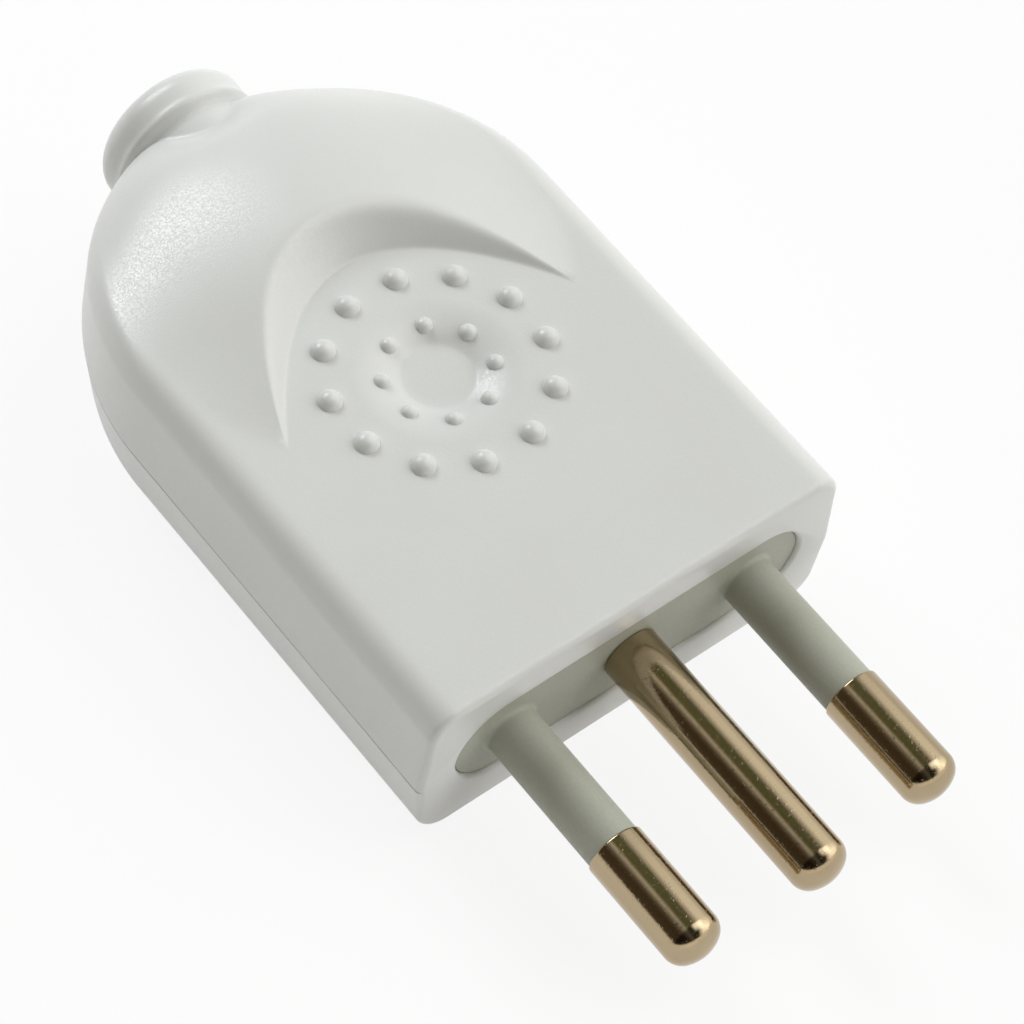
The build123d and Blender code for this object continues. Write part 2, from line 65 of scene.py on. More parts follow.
# Finger recess, dish and beads
GRIP_Y = 20.68
RECESS_APEX_Y = 30.6
RECESS_CURVE = 0.0711
RECESS_HORN_X = 11.5
WALL_SLOPE = tan(radians(42.0))
FOOT_FILLET = 0.16
CREST_BLEND = 0.78
CREST_SHARE = 0.42
DISH_RADIUS = 5.7
DISH_FLOOR_RADIUS = 2.45
DISH_DEPTH = 0.8
DISH_SIDE_RADIUS = ((DISH_RADIUS - DISH_FLOOR_RADIUS) ** 2 + DISH_DEPTH**2) / (2 * DISH_DEPTH)
DISH_FLOOR_BLEND = 0.12
BEADS = (12, 7.4, 0.87, 0.66)   # number, radius of the ring, radius, height
SMALL_BEADS = (8, 3.73, 0.6, 0.43)

# Neck
NECK_PROFILE = (
    (40.0, 3.4), (44.0, 4.6), (45.2, 4.88), (46.8, 4.92), (47.1, 4.98), (47.35, 5.14), (47.55, 5.34),
    (47.7, 5.46), (47.82, 5.52), (47.95, 5.53), (48.08, 5.51), (48.25, 5.49), (48.5, 5.5),
    (48.8, 5.53), (49.2, 5.55),
)
NECK_LIP_Y = 43.4
NECK_LIP_LENGTH = 1.9
NECK_LIP_DROP = 0.56
NECK_LIP_CURVE = 1.3            # power of its fall along Y
NECK_LIP_FADE = 6               # power of its fading down the sides
COLLAR_RADIUS = 5.55
COLLAR_ROUNDING = 1.6
NECK_END_Y = 50.8
INLET_RADIUS = 3.5
NECK_BLEND = 0.3
TOP_END_Y = 40.0                # the top face ends here and the rows round the neck begin
LAST_SECTION_Y = 46.9           # behind it the body's section only shrinks

# Opening for the carrier, with a rounded edge: (y, growth all round)
WINDOW_WIDTH = 27.5
WINDOW_HEIGHT = 7.4
WINDOW_EDGE = ((-1.0, 0.3), (0.0, 0.3), (0.04, 0.2), (0.1, 0.11), (0.19, 0.04), (0.3, 0.0), (3.2, 0.0))

# Inside of the shells
PARTING_Z = -1.0
ROOF_Z = 4.5
FLOOR_Z = -4.9
ROOM_END_Y = 38.0
PASSAGE_RADIUS = 4.4
INLET_START_Y = 43.8
INLET_ROUNDING = 0.35
INLET_FLARE = 0.3
BOSS_RADIUS = 3.8
SCREW_SEAT_Z = -3.7
SCREW_HEAD_HOLE = 2.7
SCREW_SHANK_HOLE = 1.7
SCREW_THREAD = (1.5, -3.0, 4.3)  # radius, bottom, top
CLAMP_Y = 33.0
CLAMP_SCREW_X = 7.6
CLAMP_THREAD = (1.45, -2.9, 1.0)
POST_RADIUS = 3.0
POST_TOP_Z = 0.4
SADDLE_RADIUS = 3.6
PARTITION_X = 4.75
PARTITION_Y = (6.5, 16.0)
PARTITION_THICKNESS = 1.2
RIB_X = (13.6, 15.6)
RIB_Y = (5.3, 6.5)
LIP_RING_Y = (7.6, 37.0)
LIP_RING_HEIGHT = 1.0
LIP_RING_INSET = 1.1
REBATE_HEIGHT = 1.1
REBATE_INSET = 1.0
BITE = 0.3                      # how far a fitting runs into the wall that carries it
STEP_OFF = 0.02                 # keeps a fitting's face off the wall's own face
BEYOND = 12.0                   # a height well outside the body

# Pins
PIN_RADIUS = 2.0
PIN_TIP_ROUNDING = 1.3
PIN_TIP_TURN = 30.0
PIN_RIM = 0.13
PIN_COLLAR = (3.1, 4.3, 2.6)    # from y, to y, radius
TERMINAL = (5.2, 14.7, 3.0)
TERMINAL_FLAT_Z = 2.0
WIRE_HOLE_RADIUS = 1.4
WIRE_HOLE_DEPTH = 6.8
TERMINAL_SCREW_Y = 11.5
TERMINAL_SCREW_RADIUS = 1.3
PINS = (
    # node, x, tip, end of the thick front, radius behind it
    ("live_pin", -9.5, -18.7, -10.0, 1.45),
    ("earth_pin", 0.0, -19.3, 0.3, 1.7),
    ("neutral_pin", 9.5, -18.7, -10.0, 1.45),
)

# The two halves: height of the flat, edge radius, parting height in the half's own upright frame,
# and beads or not. The lower half is drawn upright and turned over at the end.
UPPER = {"height": 6.5, "radius": 2.0, "parting": -1.0, "beads": True}
LOWER = {"height": 6.9, "radius": 2.4, "parting": 1.0, "beads": False}
PARTING_CHAMFER = 0.09

# Density of the meshes: numbers of points, and rows of points in millimetres or as shares
BEAD_SEGMENTS = 36
BEAD_ROWS = (0.14, 0.3, 0.46, 0.61, 0.75, 0.87, 0.95, 1.0)
SIDE_STEPS = 9
EDGE_STEPS = 13
FRONT_EDGE_STEPS = 8
FLAT_STATIONS = 41
SWELL_STATIONS = 54
FRONT_POINTS = 41
REAR_POINTS = 61
FOOT_POINTS = 141
ROWS_BEFORE_FOOT = (-0.5, -0.28, -0.16, -0.08)
ROWS_BEHIND_FOOT = (0.08, 0.16, 0.28)
ROWS_UP_WALL = (0.25, 0.4, 0.55, 0.68, 0.78, 0.85, 0.9, 0.95)
ROWS_PAST_CREST = (1.05, 1.1, 1.16, 1.24, 1.34, 1.5)
LOWEST_CREST = 0.08
WALL_ROW_START = 0.36
BEFORE_CREST_GAP = 0.05
PAST_CREST_GAP = 0.06
BEAD_GAP = 0.03
DISH_SEGMENTS = 144
DISH_ROWS = (
    0.6, 1.2, 1.8, 2.3, 2.6, 2.8, 3.05, 3.35, 3.7, 4.05, 4.4, 4.7, 5.0, 5.25, 5.45, 5.6, 5.7, 5.9,
)
DISH_GAP = 0.09
GRID_HALF_WIDTH = 16.0
FINE_GRID = (SWELL_Y, TOP_END_Y - 0.2, 0.42, 0.24, 0.2)   # from y, to y, step, gap, margin at the edge
COARSE_GRID = (1.0, SWELL_Y, 0.8, 0.4, 0.3)
SECTION_POINTS = 60
REAR_STATIONS = np.concatenate((np.linspace(TOP_END_Y + 0.25, 44, 16), np.linspace(44.1, 49.2, 52)))
COLLAR_STEPS = 14
INLET_STEPS = 5
PLAN_STEPS = 14
SADDLE_POINTS = 25
SLOT_END_POINTS = 49
PIN_DOME_STEPS = 12
PIN_TIP_STEPS = 20
PIN_RIM_STEPS = 6
TURNED_SEGMENTS = 96
POST_SEGMENTS = 64
HOLE_SEGMENTS = 48
PIN_SEGMENTS = 120
SHELL_SHARP_ANGLE = 24
PIN_SHARP_ANGLE = 22

# Searches and welding
HALVINGS = 40
PARTING_ROUNDS = 30
TOLERANCE = 1e-6
CREST_SEARCH = 7.0
RIM_SHARE = 0.999               # a bead's search stops just short of its widest ring
SKIN_WELD = 2e-7                # metres
CUT_WELD = 1e-7
SPECK = 1e-8


def half_width(y, inset=0.0):
    """Half width of the plan outline moved in by inset: straight sides, then the shoulder's arc."""
    along = np.maximum(y, SHOULDER_Y) - SHOULDER_Y
    arc = np.sqrt(np.maximum((SHOULDER_RADIUS - inset) ** 2 - along**2, 0.0))
    return HALF_WIDTH - SHOULDER_RADIUS + arc


def swell_share(y):
    """How far y lies along the swell, from 0 at its start to 1 at the body's rear."""
    return np.maximum(0.0, (y - SWELL_Y) / (BODY_REAR_Y - SWELL_Y))


def edge_sink(y):
    """How far the long edge has sunk at y."""
    return EDGE_DROP * np.maximum(0.0, (y - SHOULDER_Y) / (BODY_REAR_Y - SHOULDER_Y)) ** 2


def long_edge(y, form):
    """Rounding of the long edge at y: radius, tilt, and where its side and its top begin."""
    share = swell_share(y)
    radius = form["radius"] + (REAR_EDGE_RADIUS - form["radius"]) * share**2
    tilt = radians(REAR_EDGE_TILT) * share**2
    side = half_width(y) - SIDE_DRAFT
    side_top = form["height"] - edge_sink(y) - radius
    edge_x = side - radius + radius * np.sin(tilt)
    edge_z = side_top + radius * np.cos(tilt)
    return radius, tilt, side, side_top, edge_x, edge_z


def swell_top(x, y, form):
    """Height of the body's top without the recess."""
    _, tilt, _, _, edge_x, edge_z = long_edge(y, form)
    share = swell_share(y)
    narrowing = np.maximum(0.0, 1 - (y - SWELL_Y) / SWELL_MARGIN_LENGTH)
    margin = SWELL_MARGIN_END + (SWELL_MARGIN - SWELL_MARGIN_END) * narrowing**2
    foot_x = edge_x - margin
    foot_z = edge_z + margin * np.tan(tilt)
    slope = np.tan(tilt + radians(SWELL_FOOT_ANGLE) * (1 - share))
    crown = SWELL_HEIGHT * (1 - SWELL_FALL * share**SWELL_FALL_POWER)
    crest = form["height"] - edge_sink(y) + crown
    t = np.clip(1 - np.abs(x) / foot_x, 0.0, 1.0)
    hump = foot_z + (crest - foot_z) * (3 * t**2 - 2 * t**3) + slope * foot_x * (t - 2 * t**2 + t**3)
    flat = edge_z + (edge_x - np.abs(x)) * np.tan(tilt)
    return np.where(y < SWELL_Y, form["height"], np.where(np.abs(x) < foot_x, hump, flat))


def foot_distance(x, y):
    """Distance behind the recess's foot line, which is a parabola."""
    slope = 2 * RECESS_CURVE * x
    return (y - RECESS_APEX_Y + RECESS_CURVE * x**2) / np.sqrt(1 + slope**2)


def smooth_min(a, b, k):
    """Smaller of two heights, blended where they differ by less than k."""
    h = np.maximum(k - np.abs(a - b), 0.0) / np.maximum(k, 1e-9)
    return np.minimum(a, b) - h**2 * k / 4


def smooth_max(a, b, k):
    """Larger of two, blended the same way."""
    return -smooth_min(-a, -b, k)


def dish_depth(r):
    """Depth of the dish at a distance from its centre."""
    inward = np.clip(DISH_RADIUS - r, 0.0, DISH_RADIUS)
    side = DISH_SIDE_RADIUS - np.sqrt(DISH_SIDE_RADIUS**2 - inward**2)
    return smooth_min(side, np.full_like(side, DISH_DEPTH), np.minimum(side, DISH_FLOOR_BLEND))


def top_height(x, y, form):
    """Height of the finished top, without the beads."""
    floor = form["height"]
    whole = swell_top(x, y, form)
    rise = np.maximum(whole - floor, 0.0)
    d = foot_distance(x, y)
    eased = np.where(d < FOOT_FILLET, np.maximum(d + FOOT_FILLET, 0.0) ** 2 / (4 * FOOT_FILLET), d)
    wall = WALL_SLOPE * eased
    blend = np.minimum(CREST_SHARE * rise, CREST_BLEND)
    carved = floor + np.maximum(smooth_min(rise, wall, blend), 0.0)
    height = np.where(rise > 0, carved, whole)
    r = np.hypot(x, y - GRIP_Y)
    return np.where(r < DISH_RADIUS, height - dish_depth(r), height)


def crest_distance(foot, normal, form):
    """How far behind the foot the recess's wall comes out on the swell."""
    low = np.zeros(len(foot))
    high = np.full(len(foot), CREST_SEARCH)
    for _ in range(HALVINGS):
        middle = (low + high) / 2
        place = foot + middle[:, None] * normal
        inside = WALL_SLOPE * middle < swell_top(place[:, 0], place[:, 1], form) - form["height"]
        low = np.where(inside, middle, low)
        high = np.where(inside, high, middle)
    return low


def bead_rows(form):
    """Rings of points on and round each bead: (points, heights), and the base rings to keep crisp."""
    rings = []
    bases = []
    for count, ring_radius, radius, height in (BEADS, SMALL_BEADS):
        floor = form["height"] - float(dish_depth(np.array(ring_radius)))
        centre_z = floor + height - radius
        steps = np.linspace(0, 2 * pi, BEAD_SEGMENTS, endpoint=False)
        for k in range(count):
            angle = 2 * pi * (k + 0.5) / count
            cx = ring_radius * cos(angle)
            cy = GRIP_Y + ring_radius * sin(angle)
            low = np.zeros_like(steps)
            high = np.full_like(steps, RIM_SHARE * radius)
            for _ in range(HALVINGS):
                middle = (low + high) / 2
                px = cx + middle * np.cos(steps)
                py = cy + middle * np.sin(steps)
                above = centre_z + np.sqrt(radius**2 - middle**2) > top_height(px, py, form)
                low = np.where(above, middle, low)
                high = np.where(above, high, middle)
            for part in BEAD_ROWS:
                reach = low * part
                points = np.column_stack((cx + reach * np.cos(steps), cy + reach * np.sin(steps)))
                heights = centre_z + np.sqrt(radius**2 - reach**2)
                if part == 1.0:
                    bases.append(points)
                else:
                    rings.append((points, heights))
            rings.append((np.array([[cx, cy]]), np.array([centre_z + radius])))
    return rings, bases


def thinned(points, keep_off, gap, batch=2000):
    """Points that lie no nearer than gap to any point of keep_off, worked out in batches."""
    kept = []
    for start in range(0, len(points), batch):
        chunk = points[start:start + batch]
        near = np.full(len(chunk), np.inf)
        for other in range(0, len(keep_off), batch):
            delta = chunk[:, None, :] - keep_off[None, other:other + batch, :]
            near = np.minimum(near, (delta**2).sum(axis=2).min(axis=1))
        kept.append(chunk[near > gap**2])
    return np.concatenate(kept)


def hex_grid(y0, y1, step):
    """Points of a triangular grid across the body between two depths."""
    rows = []
    for k, y in enumerate(np.arange(y0, y1, step * sqrt(3) / 2)):
        xs = np.arange(-GRID_HALF_WIDTH + (k % 2) * step / 2, GRID_HALF_WIDTH, step)
        rows.append(np.column_stack((xs, np.full_like(xs, y))))
    return np.concatenate(rows)


def section_side(y, form, inset=0.0):
    """Right side of the section at y, from the parting line up to the top's edge, moved in by inset."""
    radius, tilt, side, side_top, _, _ = (float(v) for v in long_edge(np.array(y), form))
    parting = form["parting"]
    outer = float(half_width(np.array(y)))
    points = [(outer - inset - PARTING_CHAMFER, parting)]
    base = parting + PARTING_CHAMFER
    for t in np.linspace(0, 1, SIDE_STEPS)[:-1]:
        x = outer + (side - outer) * (base + (side_top - base) * t - parting) / (side_top - parting)
        points.append((x - inset, base + (side_top - base) * t))
    reach = radius - inset
    for angle in np.linspace(0, pi / 2 - tilt, EDGE_STEPS):
        points.append((side - radius + reach * cos(angle), side_top + reach * sin(angle)))
    return points


def dish_ring(radius, count):
    """Ring of points about the dish's centre."""
    turns = np.linspace(0, 2 * pi, count, endpoint=False)
    return np.array([0.0, GRIP_Y]) + radius * np.column_stack((np.cos(turns), np.sin(turns)))


def top_points(form):
    """Triangles of the top face between the long edges: points, faces, and where its edges have points."""
    flat_part = np.linspace(FRONT_ROUNDING, SWELL_Y - 0.5, FLAT_STATIONS)
    stations = np.concatenate((flat_part, np.linspace(SWELL_Y, TOP_END_Y, SWELL_STATIONS)))
    _, _, _, _, edge_x, _ = long_edge(stations, form)
    front = np.linspace(-edge_x[0], edge_x[0], FRONT_POINTS)
    rear = np.linspace(-edge_x[-1], edge_x[-1], REAR_POINTS)
    loop = [(x, stations[0]) for x in front]
    loop += [(edge_x[k], stations[k]) for k in range(1, len(stations))]
    loop += [(x, stations[-1]) for x in rear[::-1][1:]]
    loop += [(-edge_x[k], stations[k]) for k in range(len(stations) - 2, 0, -1)]
    points = [np.array(loop)]
    chains = [(0, len(loop), True)]
    heights = {}

    def add(new, closed=None, own_heights=None):
        """Add points, as a chain of edges if closed is True or False, with heights of their own if given."""
        start = sum(len(p) for p in points)
        points.append(new)
        if closed is not None:
            chains.append((start, len(new), closed))
        if own_heights is not None:
            heights.update({start + k: h for k, h in enumerate(own_heights)})

    def add_grid(y0, y1, step, gap, margin):
        """Add grid points that keep off the points so far, the beads and the long edges."""
        cells = thinned(hex_grid(y0, y1, step), np.concatenate(points), gap)
        cells = cells[inside_none(cells, bases)]
        add(cells[np.abs(cells[:, 0]) < long_edge(cells[:, 1], form)[4] - margin])

    bead_rings, bases = bead_rows(form) if form["beads"] else ([], [])
    for base in bases:
        add(base, True)
    for rows, own in bead_rings:
        add(rows, None, own)
    add(dish_ring(DISH_FLOOR_RADIUS, DISH_SEGMENTS), True)
    foot_x = np.linspace(-RECESS_HORN_X, RECESS_HORN_X, FOOT_POINTS)
    foot = np.column_stack((foot_x, RECESS_APEX_Y - RECESS_CURVE * foot_x**2))
    add(foot, False)
    normal = np.column_stack((2 * RECESS_CURVE * foot_x, np.ones_like(foot_x)))
    normal /= np.linalg.norm(normal, axis=1)[:, None]
    for d in ROWS_BEFORE_FOOT:
        add(foot + d * normal)
    crest = crest_distance(foot, normal, form)
    add((foot + crest[:, None] * normal)[crest > LOWEST_CREST], False)
    for d in ROWS_BEHIND_FOOT:
        add((foot + d * normal)[crest > d + LOWEST_CREST])
    for part in ROWS_UP_WALL:
        clear = (part * crest > WALL_ROW_START) & ((1 - part) * crest > BEFORE_CREST_GAP)
        add((foot + (part * crest)[:, None] * normal)[clear])
    for part in ROWS_PAST_CREST:
        add((foot + (part * crest)[:, None] * normal)[(part - 1) * crest > PAST_CREST_GAP])
    rings = [dish_ring(r, max(12, int(DISH_SEGMENTS * r / DISH_RADIUS))) for r in DISH_ROWS]
    dish = thinned(np.concatenate(rings), np.concatenate(points), DISH_GAP)
    add(dish[inside_none(dish, bases)])
    add_grid(*FINE_GRID)
    add_grid(*COARSE_GRID)
    everything = np.concatenate(points)
    edges = []
    for start, count, closed in chains:
        edges += [(start + k, start + k + 1) for k in range(count - 1)]
        if closed:
            edges.append((start + count - 1, start))
    out, _, faces, origins, _, _ = delaunay_2d_cdt([Vector(p) for p in everything], edges, [], 1, 1e-7)
    plane = np.array([(v.x, v.y) for v in out])
    z = top_height(plane[:, 0], plane[:, 1], form)
    for k, sources in enumerate(origins):
        for source in sources:
            if source in heights:
                z[k] = heights[source]
    return np.column_stack((plane, z)), [list(f) for f in faces], stations, front, rear


def inside_none(points, loops):
    """True where a point lies in none of the small round loops."""
    clear = np.ones(len(points), dtype=bool)
    for loop in loops:
        middle = loop.mean(axis=0)
        reach = np.linalg.norm(loop - middle, axis=1).max() + BEAD_GAP
        clear &= np.linalg.norm(points - middle, axis=1) > reach
    return clear


def neck_radius(y):
    """Outside radius of the neck and collar at y, before the rounded rim."""
    return np.interp(y, [p[0] for p in NECK_PROFILE], [p[1] for p in NECK_PROFILE])


def section_polar(y, form):
    """Right half of the body's section at y as angle and radius about the neck's axis."""
    station = min(y, LAST_SECTION_Y)
    side = section_side(station, form)
    edge_x = side[-1][0]
    xs = np.linspace(edge_x, 0.0, SECTION_POINTS)[1:]
    zs = swell_top(xs, np.full_like(xs, station), form)
    x = np.concatenate(([p[0] for p in side], xs))
    z = np.concatenate(([p[1] for p in side], zs))
    scale = 1.0
    if y > LAST_SECTION_Y:
        ends = half_width(np.array([y, LAST_SECTION_Y]))
        scale = max(float(ends[0] / ends[1]), 0.0)
    return np.arctan2(z, x), np.hypot(x, z) * scale


def rear_rows(form, rear_xs):
    """Rows of points from the end of the top face over the neck to its rounded end."""
    side = section_side(TOP_END_Y, form)
    edge_x = side[-1][0]
    inner = [x for x in rear_xs[::-1] if x < edge_x - TOLERANCE]
    xs = np.array([p[0] for p in side] + inner)
    top_z = swell_top(np.array(inner), np.full(len(inner), TOP_END_Y), form)
    zs = np.concatenate(([p[1] for p in side], top_z))
    right = xs > -TOLERANCE
    angles = np.arctan2(zs[right], xs[right])
    start_angle = angles[0]
    share = (angles - start_angle) / (pi / 2 - start_angle)
    rows = [np.column_stack((xs[right], np.full(right.sum(), TOP_END_Y), zs[right]))]
    parting = form["parting"]

    def row(y, radius_at):
        """Row at y from the parting line up to the middle, with its radius given by the angle."""
        base = 8.0
        for _ in range(PARTING_ROUNDS):
            low = np.arcsin(np.clip(parting / base, -0.99, 0.99))
            base = float(radius_at(np.array([low]))[0])
        low = np.arcsin(parting / base)
        turn = low + share * (pi / 2 - low)
        r = radius_at(turn)
        return np.column_stack((r * np.cos(turn), np.full_like(r, y), r * np.sin(turn)))

    def body_and_neck(y):
        """Radius by angle of the body's section blended with the neck."""
        body_angle, body_radius = section_polar(float(y), form)
        neck = float(neck_radius(np.array(y)))
        drop = NECK_LIP_DROP * max(0.0, (y - NECK_LIP_Y) / NECK_LIP_LENGTH) ** NECK_LIP_CURVE

        def radius_at(turn):
            body = np.interp(turn, body_angle, body_radius) - drop * np.sin(turn) ** NECK_LIP_FADE
            return smooth_max(body, np.full_like(body, neck), NECK_BLEND)

        return radius_at

    for y in REAR_STATIONS:
        rows.append(row(y, body_and_neck(y)))
    for angle in np.linspace(0, pi / 2, COLLAR_STEPS)[1:]:
        r = COLLAR_RADIUS - COLLAR_ROUNDING * (1 - cos(angle))
        y = NECK_END_Y - COLLAR_ROUNDING * (1 - sin(angle))
        rows.append(row(y, lambda turn, r=r: np.full_like(turn, r)))
    return rows


def mirrored(row):
    """Row from the right parting point over the top to the left one."""
    left = row[::-1].copy()
    left[:, 0] *= -1
    if abs(row[-1][0]) < TOLERANCE:
        left = left[1:]
    return np.concatenate((row, left))


def finished(name, bm):
    """Mesh with outward normals from a bmesh, which is freed."""
    bmesh.ops.recalc_face_normals(bm, faces=bm.faces)
    mesh = bpy.data.meshes.new(name)
    bm.to_mesh(mesh)
    bm.free()
    return mesh


class Skin:
    """Points and faces of one closed surface, welded at the end."""

    def __init__(self):
        self.points = []
        self.faces = []

    def add(self, points, faces):
        start = len(self.points)
        self.points += [tuple(p) for p in points]
        self.faces += [tuple(start + k for k in face) for face in faces]

    def strip(self, first, second):
        """Quads between two rows of equally many points."""
        n = len(first)
        faces = [(k, k + 1, n + k + 1, n + k) for k in range(n - 1)]
        self.add(list(first) + list(second), faces)

    def fan(self, row):
        """One face over a whole row."""
        self.add(row, [tuple(range(len(row)))])

    def mesh(self, name, flip=False):
        """Welded mesh in metres, turned over if flip."""
        sign = -1 if flip else 1
        bm = bmesh.new()
        verts = [bm.verts.new((x * MM, y * MM, sign * z * MM)) for x, y, z in self.points]
        for face in self.faces:
            bm.faces.new([verts[k] for k in face])
        bmesh.ops.remove_doubles(bm, verts=bm.verts, dist=SKIN_WELD)
        bmesh.ops.dissolve_degenerate(bm, dist=SPECK, edges=bm.edges)
        return finished(name, bm)


def shell_skin(form):
    """Closed outside of one half, drawn as the upper half."""
    skin = Skin()
    points, faces, stations, front_xs, rear_xs = top_points(form)
    skin.add(points, faces)
    sides = [np.array([(x, y, z) for x, z in section_side(y, form)]) for y in stations]
    for first, second in zip(sides, sides[1:]):
        skin.strip(first, second)
        flipped = [row * np.array((-1, 1, 1)) for row in (second, first)]
        skin.strip(*flipped)
    front_rows = []
    for angle in np.linspace(0, pi / 2, FRONT_EDGE_STEPS):
        inset = FRONT_ROUNDING * (1 - cos(angle))
        y = FRONT_ROUNDING * (1 - sin(angle))
        side = section_side(FRONT_ROUNDING, form, inset)
        top_z = form["height"] - inset
        inner = [x for x in front_xs[::-1] if -TOLERANCE <= x < side[-1][0] - TOLERANCE]
        row = np.array([(x, y, z) for x, z in side] + [(x, y, top_z) for x in inner])
        front_rows.append(mirrored(row))
    for first, second in zip(front_rows, front_rows[1:]):
        skin.strip(second, first)
    skin.fan(front_rows[-1])
    rears = [mirrored(row) for row in rear_rows(form, rear_xs)]
    for first, second in zip(rears, rears[1:]):
        skin.strip(first, second)
    skin.fan(rears[-1][::-1])
    right = [row[0] for row in front_rows[::-1]]
    right += [row[0] for row in sides[1:]]
    right += [row[0] for row in rears[1:]]
    left = [(-x, y, z) for x, y, z in right[::-1]]
    skin.fan(np.array(right + left))
    return skin


def new_object(name, data):
    """Object in the scene for a mesh, a lamp or a camera."""
    made = bpy.data.objects.new(name, data)
    bpy.context.collection.objects.link(made)
    return made


def prism(name, outline, depth_axis, start, end):
    """Closed prism of an outline of (a, b) points between two depths along Y or Z."""
    bm = bmesh.new()

    def put(a, b, depth):
        place = (a, depth, b) if depth_axis == "Y" else (a, b, depth)
        return bm.verts.new([c * MM for c in place])

    low = [put(a, b, start) for a, b in outline]
    high = [put(a, b, end) for a, b in outline]
    n = len(outline)
    bm.faces.new(low)
    bm.faces.new(high[::-1])
    for k in range(n):
        bm.faces.new((low[k], high[k], high[(k + 1) % n], low[(k + 1) % n]))
    return new_object(name, finished(name, bm))


def lathe(name, profile, origin, axis, segments=TURNED_SEGMENTS):
    """Closed turned solid from (along, radius) points that start and end on the axis."""
    bm = bmesh.new()
    rings = []
    for along, radius in profile:
        if radius < TOLERANCE:
            turns = [0.0]
        else:
            turns = [2 * pi * k / segments for k in range(segments)]
        ring = []
        for turn in turns:
            a, b = radius * cos(turn), radius * sin(turn)
            local = (a, along, b) if axis == "Y" else (a, b, along)
            ring.append(bm.verts.new([(o + c) * MM for o, c in zip(origin, local)]))
        rings.append(ring)
    for first, second in zip(rings, rings[1:]):
        for k in range(segments):
            a = [first[0]] if len(first) == 1 else [first[k], first[(k + 1) % segments]]
            b = [second[0]] if len(second) == 1 else [second[(k + 1) % segments], second[k]]
            bm.faces.new(a + b)
    return new_object(name, finished(name, bm))


def rod(name, radius, bottom, top, x, y, segments=HOLE_SEGMENTS):
    """Upright cylinder."""
    profile = [(bottom, 0), (bottom, radius), (top, radius), (top, 0)]
    return lathe(name, profile, (x, y, 0), "Z", segments)


def block(name, x, y, bottom, top):
    """Box between two pairs of x and y and two heights."""
    corners = [(x[0], y[0]), (x[1], y[0]), (x[1], y[1]), (x[0], y[1])]
    return prism(name, corners, "Z", bottom, top)


def combine(piece, tool, operation):
    """Take the tool out of the piece or join it on, and delete the tool."""
    step = piece.modifiers.new("combine", "BOOLEAN")
    step.operation = operation
    step.solver = "EXACT"
    step.object = tool
    graph = bpy.context.evaluated_depsgraph_get()
    result = bpy.data.meshes.new_from_object(piece.evaluated_get(graph))
    bm = bmesh.new()
    bm.from_mesh(result)
    bmesh.ops.remove_doubles(bm, verts=bm.verts, dist=CUT_WELD)
    bmesh.ops.dissolve_degenerate(bm, dist=SPECK, edges=bm.edges)
    bm.to_mesh(result)
    bm.free()
    piece.modifiers.clear()
    old = piece.data
    piece.data = result
    bpy.data.meshes.remove(old)
    bpy.data.objects.remove(tool)


def cut(piece, tool):
    combine(piece, tool, "DIFFERENCE")


def join(piece, tool):
    combine(piece, tool, "UNION")


def slot_outline(width, height):
    """Outline with half-round ends."""
    radius = height / 2
    reach = width / 2 - radius
    turns = np.linspace(-pi / 2, pi / 2, SLOT_END_POINTS)
    right = [(reach + radius * cos(t), radius * sin(t)) for t in turns]
    return right + [(-x, -z) for x, z in right]


def flared(name, width, height, sections):
    """Closed tool along Y with half-round ends, from (y, growth all round) of each section."""
    skin = Skin()
    rows = []
    for y, growth in sections:
        outline = slot_outline(width + 2 * growth, height + 2 * growth)
        rows.append(np.array([(x, y, z) for x, z in outline + outline[:1]]))
    for first, second in zip(rows, rows[1:]):
        skin.strip(first, second)
    skin.fan(rows[0][:-1])
    skin.fan(rows[-1][:-1])
    return new_object(name, skin.mesh(name))


def room_tool():
    """Room inside both halves, with the screw boss left standing."""
    ys = np.linspace(SHOULDER_Y, ROOM_END_Y, PLAN_STEPS)
    right = [(HALF_WIDTH - WALL, FRONT_WALL)] + list(zip(half_width(ys, WALL), ys))
    outline = right + [(-x, y) for x, y in right[::-1]]
    room = prism("room", outline, "Z", FLOOR_Z, ROOF_Z)
    cut(room, rod("boss", BOSS_RADIUS, -BEYOND, BEYOND, 0, GRIP_Y))
    return room


def passage_tool():
    """Way for the cord from the room to the inlet, with the inlet's edge rounded."""
    start = ROOM_END_Y - WALL
    past = NECK_END_Y + 0.7
    profile = [(start, 0), (start, PASSAGE_RADIUS), (ROOM_END_Y, PASSAGE_RADIUS)]
    profile += [(INLET_START_Y, INLET_RADIUS), (NECK_END_Y - INLET_ROUNDING, INLET_RADIUS)]
    for t in np.linspace(0.4, pi / 2, INLET_STEPS):
        flare = INLET_FLARE * (1 - cos(t)) ** 0.5 * sin(t)
        profile.append((NECK_END_Y - INLET_ROUNDING * cos(t), INLET_RADIUS + flare))
    profile += [(past, INLET_RADIUS + 0.5), (past, 0)]
    return lathe("passage", profile, (0, 0, 0), "Y")


def wall_strip(name, side, outer, inner, bottom, top):
    """Strip that follows the side wall between two insets."""
    start, end = LIP_RING_Y
    ys = np.concatenate(([start], np.linspace(SHOULDER_Y, end, PLAN_STEPS)))
    outline = list(zip(half_width(ys, outer), ys)) + list(zip(half_width(ys, inner), ys))[::-1]
    return prism(name, [(side * x, y) for x, y in outline], "Z", bottom, top)


def stop_rib(side, bottom, top):
    """Rib on the side wall that the carrier's flange rests against."""
    return block("rib", sorted(side * x for x in RIB_X), RIB_Y, bottom, top)


